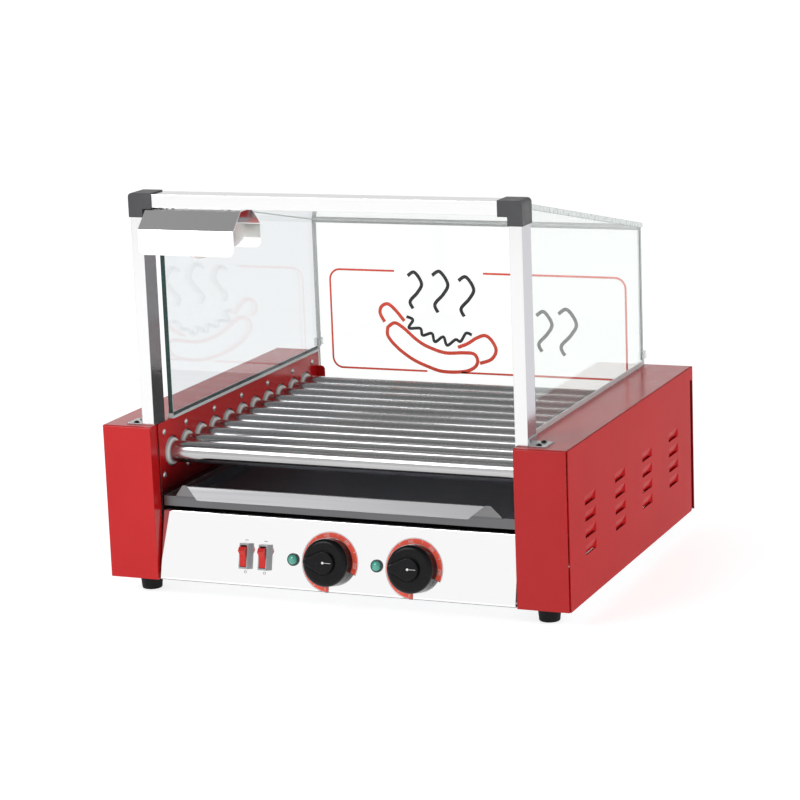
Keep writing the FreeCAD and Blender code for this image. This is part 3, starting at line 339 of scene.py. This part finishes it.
MATERIALS = {
    "red_paint": red_paint,
    "zinc_plate": zinc,
    "mirror_steel": mirror_steel,
    "brushed_steel": lambda: brushed("brushed_steel", (0.68, 0.68, 0.68), (4.0, 500.0, 500.0)),
    "roller_chrome": roller_steel,
    "white_ptfe": lambda: moulded("white_ptfe", (0.70, 0.70, 0.69), (0.35, 0.5), 500.0, 0.05, 1.06,
                                  Subsurface_Weight=0.15, Subsurface_Scale=0.004),
    "rod_sheath": lambda: brushed("rod_sheath", (0.26, 0.24, 0.22), (30.0, 90.0, 90.0), 0.6, (0.4, 0.6)),
    "screw_steel": lambda: brushed("screw_steel", (0.72, 0.72, 0.70), (300.0, 300.0, 300.0), 0.8, (0.15, 0.3)),
    "chain_steel": lambda: brushed("chain_steel", (0.22, 0.21, 0.20), (200.0, 200.0, 200.0), 0.6, (0.25, 0.45)),
    "motor_grey": lambda: moulded("motor_grey", (0.22, 0.23, 0.24), (0.4, 0.55), 300.0, 0.2),
    "aluminium_tube": lambda: aluminium("aluminium_upright", (900.0, 900.0, 3.0)),
    "black_plastic": lambda: moulded("black_plastic", (0.010, 0.010, 0.011), Specular_IOR_Level=0.2),
    "grey_plastic": lambda: moulded("grey_plastic", (0.36, 0.37, 0.38), (0.3, 0.4), 700.0, 0.05, 1.05,
                                    Specular_IOR_Level=0.25),
    "dark_plastic": lambda: moulded("dark_plastic", (0.03, 0.045, 0.045), (0.2, 0.3), 700.0, 0.05),
    "red_plastic": lambda: moulded("red_plastic", (0.55, 0.012, 0.008), (0.2, 0.3), 700.0, 0.04, 1.1,
                                   Specular_IOR_Level=0.3, Coat_Weight=0.15),
    "green_lens": lambda: moulded("green_lens", (0.05, 0.30, 0.23), (0.10, 0.2), 260.0, 0.3, 1.4,
                                  Coat_Weight=0.8, Coat_Roughness=0.03),
    "clear_glass": lambda: clear_glass("clear_glass"),
    "clear_plastic": lambda: moulded("clear_plastic", (0.80, 0.82, 0.82), (0.15, 0.25), 300.0, 0.05, 1.05,
                                     Alpha=0.35),
    "grey_seal": lambda: moulded("grey_seal", (0.74, 0.76, 0.76), (0.3, 0.45), 200.0, 0.08, 1.1,
                                 Transmission_Weight=0.15),
    "black_rubber": lambda: moulded("black_rubber", (0.007, 0.007, 0.008), (0.55, 0.75), 350.0, 0.25,
                                    Specular_IOR_Level=0.15),
    "ceramic_white": lambda: moulded("ceramic_white", (0.74, 0.73, 0.69), (0.12, 0.25), 120.0, 0.05, 1.05,
                                     Coat_Weight=0.6),
    "lamp_glass": lambda: moulded("lamp_glass", (0.86, 0.85, 0.82), (0.2, 0.3), 80.0, 0.02, 1.05,
                                  Subsurface_Weight=0.4, Subsurface_Scale=0.01),
}


OWN_MATERIALS = {
    # control panel: painted shade along its bottom edge, below 0.0206 m
    "control_panel": lambda: mirror_steel("mirror_panel", 0.0206),
    "left_temperature_knob": lambda: knob_black("knob_black_left"),
    "right_temperature_knob": lambda: knob_black("knob_black_right"),
    # rail: a brighter front as painted reflection, with the painted top and side tones of the extrusion
    "top_rail": lambda: aluminium("aluminium_rail", (3.0, 900.0, 900.0), front=0.88),
    # left post: its sideways faces painted near black (0.18), a painted reflection darker than the right post's
    "left_post": lambda: aluminium("aluminium_left_painted_dark_sides", (900.0, 900.0, 3.0), side=0.18),
    "m4_screws": fixing_steel,
    "drip_tray": tray_steel,
    "left_outer_cover": lambda: red_paint("red_cover_left", None, 0.022, 0.93, 0.0),
    "right_outer_cover": lambda: red_paint("red_cover_right", None, 0.022, 0.93, 0.0),
    # right housing: its red darkened to 0.80 of the left housing's, painted shade for the side away from the key
    # light
    "right_housing": lambda: red_paint("red_housing_right_painted_shade", None, 0.24, 0.80),
    "corner_connectors": lambda: moulded("connector_grey", (0.055, 0.056, 0.058), Specular_IOR_Level=0.3),
    # inner covers: painted shade, near black below the rollers
    "left_inner_cover": lambda: red_paint("red_inner_left", 0.165),
    "right_inner_cover": lambda: red_paint("red_inner_right", 0.165),
    "post_brackets": lambda: brushed("bracket_steel", (0.50, 0.50, 0.51), (4.0, 500.0, 500.0), 0.9, (0.18, 0.3)),
}


def dress_nodes():
    """Give every CAD node the material of its slot, or its own one."""
    made = {}
    for part in frame["record"]["subparts"]:
        slot = part["material_slot"]
        if slot not in made:
            made[slot] = MATERIALS[slot]()
        node = frame["nodes"][part["node"]]
        own = OWN_MATERIALS.get(part["node"])
        node.data.materials.clear()
        node.data.materials.append(own() if own else made[slot])
    return made


# =====================================================================
# pieces
# =====================================================================

MM = 0.001
PANEL_SLOPE = math.radians(13.0)
PANEL_FOOT_Y = -239.4
PANEL_FOOT_Z = 20.0
CONTROL_S = 36.0
KNOB_XS = (-6.0, 99.3)
SWITCH_XS = (-113.3, -88.6)
REAR_PANE_FACE_Y = 233.7
INK = 0.12                      # thickness of printed marks, mm


def on_panel(x, s, out=0.0):
    """A place on the sloping panel in metres: across, up the slope, outward."""
    up_y, up_z = math.sin(PANEL_SLOPE), math.cos(PANEL_SLOPE)
    return Vector((x, PANEL_FOOT_Y + s * up_y - out * up_z, PANEL_FOOT_Z + s * up_z + out * up_y)) * MM


def on_rear_pane(x, z, out=0.0):
    return Vector((x, REAR_PANE_FACE_Y - out, z)) * MM


class Piece:
    """A mesh gathered from flat ribbons, plates and turned shapes, then given to a body."""

    def __init__(self, name):
        self.name = name
        self.mesh = bmesh.new()

    def sheet(self, outline, place, low, high):
        """A closed plate: an outline in the plane of a placing function, between two heights."""
        bottom = [self.mesh.verts.new(place(u, v, low)) for u, v in outline]
        top = [self.mesh.verts.new(place(u, v, high)) for u, v in outline]
        self.mesh.faces.new(top)
        self.mesh.faces.new(bottom[::-1])
        count = len(outline)
        for i in range(count):
            j = (i + 1) % count
            self.mesh.faces.new((bottom[i], bottom[j], top[j], top[i]))

    def ribbon(self, line, width, place, low=0.02, high=INK, closed=False):
        """A printed line of even width along a path."""
        count = len(line)
        rails = []
        for i, (u, v) in enumerate(line):
            before = line[i - 1] if i or closed else line[0]
            after = line[(i + 1) % count] if i < count - 1 or closed else line[-1]
            along = Vector((after[0] - before[0], after[1] - before[1])).normalized()
            half = width / 2
            rails.append(((u - along.y * half, v + along.x * half), (u + along.y * half, v - along.x * half)))
        rings = []
        for left, right in rails:
            rings.append([self.mesh.verts.new(place(*p, h)) for p, h in
                          ((left, low), (left, high), (right, high), (right, low))])
        last = count if closed else count - 1
        for i in range(last):
            here, there = rings[i], rings[(i + 1) % count]
            for k in range(4):
                m = (k + 1) % 4
                self.mesh.faces.new((here[k], here[m], there[m], there[k]))
        if not closed:
            self.mesh.faces.new(rings[0][::-1])
            self.mesh.faces.new(rings[-1])

    def turned(self, profile, origin, direction, steps=32):
        """A shape turned round an axis: profile points are radius and height, in mm."""
        turn = Vector(direction).to_track_quat("Z", "Y").to_matrix()
        rings = []
        for radius, height in profile:
            ring = []
            for step in range(steps):
                angle = 2 * math.pi * step / steps
                spot = Vector((radius * math.cos(angle), radius * math.sin(angle), height)) * MM
                ring.append(self.mesh.verts.new(Vector(origin) + turn @ spot))
            rings.append(ring)
        for low, high in zip(rings, rings[1:]):
            for step in range(steps):
                after = (step + 1) % steps
                self.mesh.faces.new((low[step], low[after], high[after], high[step]))
        self.mesh.faces.new(rings[0][::-1])
        self.mesh.faces.new(rings[-1])

    def finish(self, material, body="root", smooth=False):
        bmesh.ops.remove_doubles(self.mesh, verts=self.mesh.verts, dist=1e-7)
        bmesh.ops.recalc_face_normals(self.mesh, faces=self.mesh.faces)
        mesh = bpy.data.meshes.new(self.name)
        self.mesh.to_mesh(mesh)
        self.mesh.free()
        mesh.materials.append(material)
        if smooth:
            mesh.shade_smooth()
        piece = bpy.data.objects.new(self.name, mesh)
        bpy.context.scene.collection.objects.link(piece)
        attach(piece, body)
        return piece


def curve_through(points, steps=8):
    """A smooth line through a few points."""
    padded = [points[0]] + list(points) + [points[-1]]
    line = []
    for a, b, c, d in zip(padded, padded[1:], padded[2:], padded[3:]):
        for step in range(steps):
            t = step / steps
            line.append(tuple(0.5 * (2 * q + (r - p) * t + (2 * p - 5 * q + 4 * r - w) * t * t
                                     + (3 * q - p - 3 * r + w) * t ** 3) for p, q, r, w in zip(a, b, c, d)))
    line.append(points[-1])
    return line


def arc(centre, radius, start, end, steps=48):
    """Points on an arc; degrees, 0 along the first axis."""
    line = []
    for step in range(steps + 1):
        angle = math.radians(start + (end - start) * step / steps)
        line.append((centre[0] + radius * math.cos(angle), centre[1] + radius * math.sin(angle)))
    return line


DIGIT_STROKES = {
    "0": [[(0, 0), (0, 2), (1, 2), (1, 0), (0, 0)]],
    "1": [[(0.1, 1.6), (0.55, 2), (0.55, 0)]],
    "2": [[(0, 2), (1, 2), (1, 1), (0, 1), (0, 0), (1, 0)]],
    "5": [[(1, 2), (0, 2), (0, 1), (1, 1), (1, 0), (0, 0)]],
}


DIAL_START, DIAL_END = -90.0, -382.0
DIAL_INNER_R, DIAL_OUTER_R, DIAL_LINE_R = 28.4, 34.6, 35.3
DIAL_NUMBER_R = 31.4
DIAL_LABELS = (("0", 262.0), ("50", 206.0), ("100", 152.0), ("150", 101.0), ("200", 50.0), ("250", -3.0))
TICK_LAG = 26.0                 # degrees from a number to the tick after it
KNOB_FACE = 22.5                # height of a grip's top above the panel, mm
SWITCH_MARK_RISE = 18.6         # from the middle of a switch to its marks, mm


def dial_marks(band_ink, line_ink):
    """A printed scale round each knob: a coloured band with a thin line round it."""
    band = Piece("dial_bands")
    line = Piece("dial_lines")
    steps = 72
    for x in KNOB_XS:
        centre = (x, CONTROL_S)
        line.ribbon(arc(centre, DIAL_LINE_R, DIAL_START, DIAL_END, 96), 0.35, on_panel)
        outer = arc(centre, DIAL_OUTER_R, DIAL_START, DIAL_END, steps)
        inner = arc(centre, DIAL_INNER_R, DIAL_START, DIAL_END, steps)
        for step in range(steps):
            outline = [inner[step], outer[step], outer[step + 1], inner[step + 1]]
            band.sheet(outline, on_panel, 0.02, INK)
        for ends in ((outer[0], inner[0]), (outer[-1], inner[-1])):
            line.ribbon(ends, 0.35, on_panel, 0.02, 1.5 * INK)
    band.finish(band_ink)
    line.finish(line_ink)


def dial_numbers(ink):
    """Generic numbers round the band, standing outward, with a tick between each pair."""
    piece = Piece("dial_numbers")
    width, height, gap = 1.5, 1.55, 2.3
    for x in KNOB_XS:
        for label, place in DIAL_LABELS:
            angle = math.radians(place)
            outward = Vector((math.cos(angle), math.sin(angle)))
            across = Vector((outward.y, -outward.x))
            for index, digit in enumerate(label):
                shift = (index - (len(label) - 1) / 2) * gap
                middle = Vector((x, CONTROL_S)) + outward * DIAL_NUMBER_R + across * shift
                for stroke in DIGIT_STROKES[digit]:
                    line = [middle + across * (u - 0.5) * width + outward * (v - 1.0) * height for u, v in stroke]
                    piece.ribbon([tuple(p) for p in line], 0.42, on_panel, INK, 2 * INK)
            tick = angle - math.radians(TICK_LAG)
            if place > 0:
                ends = [(x + r * math.cos(tick), CONTROL_S + r * math.sin(tick)) for r in (31.6, 34.0)]
                piece.ribbon(ends, 0.4, on_panel, INK, 2 * INK)
    piece.finish(ink)


def knob_marks(white):
    """The white spot and pointer line on the face of each knob."""
    for side, x in zip(("left", "right"), KNOB_XS):
        piece = Piece(side + "_knob_mark")
        piece.sheet(arc((x + 0.5, CONTROL_S), 1.5, 0, 360, 20)[:-1], on_panel, KNOB_FACE - 0.1, KNOB_FACE + 0.08)
        piece.ribbon([(x + 2.5, CONTROL_S), (x + 10.5, CONTROL_S)], 0.5, on_panel, KNOB_FACE - 0.1,
                     KNOB_FACE + 0.04)
        piece.finish(white, side + "_temperature_knob")


def glass_print(orange, black):
    """The printed picture on the rear pane: a frame, a sausage in a bun and curls of steam."""
    left, right, low, high, corner = -202.0, 202.0, 183.5, 315.0, 14.0
    frame_line = Piece("glass_print_frame")
    left_side = [(-110.0, high)] + arc((left + corner, high - corner), corner, 90, 180, 10)
    left_side += arc((left + corner, low + corner), corner, 180, 270, 10) + [(-68.0, low)]
    right_side = [(14.0, high)] + arc((right - corner, high - corner), corner, 90, 0, 10)
    right_side += arc((right - corner, low + corner), corner, 0, -90, 10) + [(-20.0, low)]
    frame_line.ribbon(left_side, 2.6, on_rear_pane)
    frame_line.ribbon(right_side, 2.6, on_rear_pane)
    frame_line.finish(orange)

    sausage = [(-122, 240), (-112, 246), (-100, 240), (-82, 225), (-66, 216), (-42, 209), (-17, 210), (-2, 209),
               (3, 200), (-2, 191), (-17, 185), (-46, 184), (-68, 190), (-89, 199), (-109, 213), (-122, 228)]
    bun_left = [(-126, 247), (-132, 258), (-130, 267), (-121, 271), (-111, 264), (-98, 249)]
    bun_right = [(-24, 217), (-11, 222), (2, 230), (14, 234), (23, 228), (29, 215), (22, 203), (6, 197)]
    mustard = [(-95, 255), (-86, 251), (-92, 240), (-76, 240), (-73, 231), (-60, 234), (-56, 223), (-44, 230),
               (-39, 219), (-27, 227), (-20, 225), (-12, 236), (-4, 234)]
    drawing = Piece("glass_print_sausage")
    closed = curve_through(sausage + sausage[:1])[:-1]
    drawing.ribbon(closed, 4.6, on_rear_pane, closed=True)
    for line in (bun_left, bun_right):
        drawing.ribbon(curve_through(line), 4.6, on_rear_pane, INK, 2 * INK)
    drawing.finish(orange)

    curls = Piece("glass_print_steam")
    curls.ribbon(curve_through(mustard), 4.0, on_rear_pane)
    steam = [(-6.0, 0.0), (-9.0, 8.0), (0.0, 18.0), (5.0, 28.0), (-3.0, 40.0), (-11.0, 36.0)]
    for x, z, size in ((-78.0, 266.0, 1.2), (-42.0, 262.0, 1.35), (-6.0, 258.0, 1.3), (96.0, 216.0, 1.3),
                       (128.0, 212.0, 1.5)):
        curls.ribbon(curve_through([(x + u * size, z + v * size) for u, v in steam]), 4.6, on_rear_pane)
    curls.finish(black)


def switch_marks(ink):
    """A bar above each switch and a ring below it, printed on the panel."""
    piece = Piece("switch_marks")
    for x in SWITCH_XS:
        bar_s = CONTROL_S + SWITCH_MARK_RISE
        piece.ribbon([(x - 2.2, bar_s), (x + 2.2, bar_s)], 0.7, on_panel)
        piece.ribbon(arc((x, CONTROL_S - SWITCH_MARK_RISE), 1.4, 0, 360, 18)[:-1], 0.5, on_panel, closed=True)
    piece.finish(ink)


SCREW_PROFILE = [(0.0, -0.6), (3.4, -0.6), (3.6, 0.0), (3.5, 0.7), (2.9, 1.5), (1.9, 2.0), (1.5, 2.05)]


def rear_fixings(steel):
    """Plain pan-head screws in two rows along the rear panel."""
    piece = Piece("rear_screws")
    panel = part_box("rear_panel")
    low, high = [Vector(c) for c in panel]
    inset = 9 * MM
    face_y = high.y - 0.0002
    for i in range(6):
        x = low.x + inset + (high.x - low.x - 2 * inset) * i / 5
        for z in (low.z + inset, high.z - inset):
            piece.turned(SCREW_PROFILE, (x, face_y, z), (0, 1, 0), 24)
    piece.finish(steel, smooth=True)


RIVET_PROFILE = [(0.0, -0.2), (1.5, -0.2), (1.3, 0.5), (0.7, 0.8), (0.0, 0.9)]


def rating_plate(steel, ink):
    """A blank rating plate with ruled lines and rivets, without any wording."""
    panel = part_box("rear_panel")
    face_y = max(panel[0][1], panel[1][1]) / MM

    def place(u, v, out=0.0):
        return Vector((-u, face_y + out, v)) * MM

    plate = Piece("rating_plate")
    outline = []
    for cx, cz, start in ((-98, 118, 90), (-98, 82, 180), (-42, 82, 270), (-42, 118, 0)):
        outline += arc((cx, cz), 3.0, start, start + 90, 6)
    plate.sheet(outline, place, -0.1, 0.4)
    for u in (-97.0, -43.0):
        for v in (83.0, 117.0):
            plate.turned(RIVET_PROFILE, place(u, v, 0.3), (0, 1, 0), 16)
    plate.finish(steel)
    rules = Piece("rating_plate_rules")
    for row in range(5):
        rules.ribbon([(-92.0, 90.0 + 5.0 * row), (-48.0 - 6.0 * (row % 2), 90.0 + 5.0 * row)], 0.6, place, 0.41, 0.5)
    rules.finish(ink)


def lamp_thread(steel):
    """The rolled thread of the lamp's cap, seen between holder and globe."""
    bulb_low, bulb_high = [Vector(c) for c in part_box("lamp_bulb")]
    centre = (bulb_low + bulb_high) / 2
    profile = [(8.3, 0.0)]
    for turn in range(6):
        profile += [(8.9, 0.8 + 1.6 * turn), (8.4, 1.6 + 1.6 * turn)]
    piece = Piece("lamp_cap_thread")
    piece.turned(profile, (bulb_low.x + 12 * MM, centre.y, centre.z), (1, 0, 0), 36)
    piece.finish(steel, smooth=True)


def edged_panes(face_glass, left_pane_shaded_glass, edge_pale, edge_dark):
    """Bevelled copies of the panes, with ground edges, that replace the plain ones; the left pane has painted shade:
    a darker tint and a dark copy of the edge material on its front-facing edge.
    """
    faces = {"left_glass": left_pane_shaded_glass, "right_glass": face_glass, "rear_glass": face_glass, "top_glass": face_glass}
    for name, glass in faces.items():
        mesh = bmesh.new()
        mesh.from_mesh(frame["nodes"][name].data)
        bmesh.ops.remove_doubles(mesh, verts=mesh.verts, dist=1e-6)
        bmesh.ops.dissolve_limit(mesh, angle_limit=math.radians(1), verts=mesh.verts, edges=mesh.edges)
        bmesh.ops.bevel(mesh, geom=mesh.edges[:], offset=0.0005, segments=2, affect="EDGES", profile=0.5)
        bmesh.ops.recalc_face_normals(mesh, faces=mesh.faces)
        largest = max(face.calc_area() for face in mesh.faces)
        for face in mesh.faces:
            face.material_index = 0 if face.calc_area() > 0.6 * largest else 1
            # painted shade: the left pane's front-facing edge takes the dark edge material
            if name == "left_glass" and face.normal.y < -0.5:
                face.material_index = 2
        data = bpy.data.meshes.new(name + "_edged")
        mesh.to_mesh(data)
        mesh.free()
        for material in (glass, edge_pale, edge_dark):
            data.materials.append(material)
        pane = bpy.data.objects.new(name + "_edged", data)
        pane.matrix_world = frame["nodes"][name].matrix_world
        bpy.context.scene.collection.objects.link(pane)
        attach(pane, "root")
        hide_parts(name)


def make_pieces(made):
    dark_ink = moulded("dark_ink", (0.03, 0.03, 0.032), (0.5, 0.6), 300.0, 0.03)
    grey_ink = moulded("grey_ink", (0.16, 0.165, 0.17), (0.5, 0.6), 300.0, 0.03)
    white_ink = moulded("white_ink", (0.80, 0.78, 0.76), (0.5, 0.6), 300.0, 0.03, 1.05)
    orange_ink = moulded("orange_ink", (0.86, 0.09, 0.05), (0.5, 0.6), 300.0, 0.03, 1.08)
    dial_marks(orange_ink, dark_ink)
    dial_numbers(white_ink)
    knob_marks(white_ink)
    switch_marks(grey_ink)
    glass_print(orange_ink, dark_ink)
    rear_fixings(made["screw_steel"])
    rating_plate(made["screw_steel"], dark_ink)
    lamp_thread(made["screw_steel"])
    # the left pane's darker glass and the dark edge material are painted shade
    edged_panes(made["clear_glass"], clear_glass("left_pane_shaded_glass", (0.80, 0.82, 0.835)),
                glass_edge("glass_edge_pale", (0.72, 0.77, 0.76)), glass_edge("glass_edge_painted_shade", (0.03, 0.08, 0.07)))


# =====================================================================
# stage, light and camera
# =====================================================================

def make_camera():
    forward = Vector((-math.sin(CAMERA_YAW) * math.cos(CAMERA_PITCH),
                      math.cos(CAMERA_YAW) * math.cos(CAMERA_PITCH), math.sin(CAMERA_PITCH)))
    level_right = Vector((math.cos(CAMERA_YAW), math.sin(CAMERA_YAW), 0))
    level_up = level_right.cross(forward)
    right = math.cos(CAMERA_ROLL) * level_right + math.sin(CAMERA_ROLL) * level_up
    up = math.cos(CAMERA_ROLL) * level_up - math.sin(CAMERA_ROLL) * level_right
    camera = bpy.data.objects.new("camera", bpy.data.cameras.new("camera"))
    camera.data.lens = CAMERA_LENS
    camera.data.sensor_width = 36.0
    camera.data.clip_end = 50.0
    turn = Matrix((right, up, -forward)).transposed()
    camera.matrix_world = Matrix.Translation(CAMERA_PLACE) @ turn.to_4x4()
    bpy.context.scene.collection.objects.link(camera)
    bpy.context.scene.camera = camera


def make_world():
    """A white tent: bright from the floor line to above the front softbox, greyer overhead."""
    world = bpy.data.worlds.new("studio")
    world.use_nodes = True
    nodes = world.node_tree.nodes
    links = world.node_tree.links
    coordinate = nodes.new("ShaderNodeTexCoord")
    split = nodes.new("ShaderNodeSeparateXYZ")
    ramp = nodes.new("ShaderNodeValToRGB")
    links.new(coordinate.outputs["Generated"], split.inputs[0])
    rise = nodes.new("ShaderNodeMapRange")
    rise.inputs["From Min"].default_value = -1.0
    links.new(split.outputs["Z"], rise.inputs["Value"])
    links.new(rise.outputs[0], ramp.inputs[0])
    stops = ((0.0, 0.7), (0.49, 1.0), (0.60, 1.0), (0.70, 0.62), (0.86, 0.45), (1.0, 0.22))
    elements = ramp.color_ramp.elements
    while len(elements) < len(stops):
        elements.new(0.5)
    for element, (position, value) in zip(elements, stops):
        element.position = position
        element.color = (value, value, value, 1.0)
    background = nodes["Background"]
    links.new(ramp.outputs[0], background.inputs["Color"])
    background.inputs["Strength"].default_value = 1.0
    bpy.context.scene.world = world


def area_light(name, place, target, size, power):
    lamp = bpy.data.lights.new(name, "AREA")
    lamp.shape = "RECTANGLE"
    lamp.size, lamp.size_y = size
    lamp.energy = power
    holder = bpy.data.objects.new(name, lamp)
    holder.location = place
    holder.rotation_euler = (Vector(target) - Vector(place)).to_track_quat("-Z", "Y").to_euler()
    bpy.context.scene.collection.objects.link(holder)


def make_floor():
    s = Shader("floor_white", Roughness=0.6, Emission_Color=(1.0, 1.0, 1.0), Emission_Strength=0.72)
    s.drive("Base Color", s.blend_colour(s.noise(3.0), (0.54, 0.54, 0.54), (0.56, 0.56, 0.56)))
    half = 25.0
    mesh = bpy.data.meshes.new("floor")
    corners = [(-half, -half, 0), (half, -half, 0), (half, half, 0), (-half, half, 0)]
    mesh.from_pydata(corners, [], [(0, 1, 2, 3)])
    mesh.materials.append(s.material)
    floor = bpy.data.objects.new("floor", mesh)
    bpy.context.scene.collection.objects.link(floor)


def make_studio():
    make_world()
    make_floor()
    area_light("front_softbox", (-1.6, -2.4, 2.3), (0, 0, 0.2), (1.8, 1.4), 42)
    area_light("side_softbox", (2.8, 0.4, 1.6), (0, 0, 0.2), (1.4, 1.4), 8)
    bpy.context.scene.view_settings.view_transform = "Standard"


make_camera()
make_studio()
make_pieces(dress_nodes())
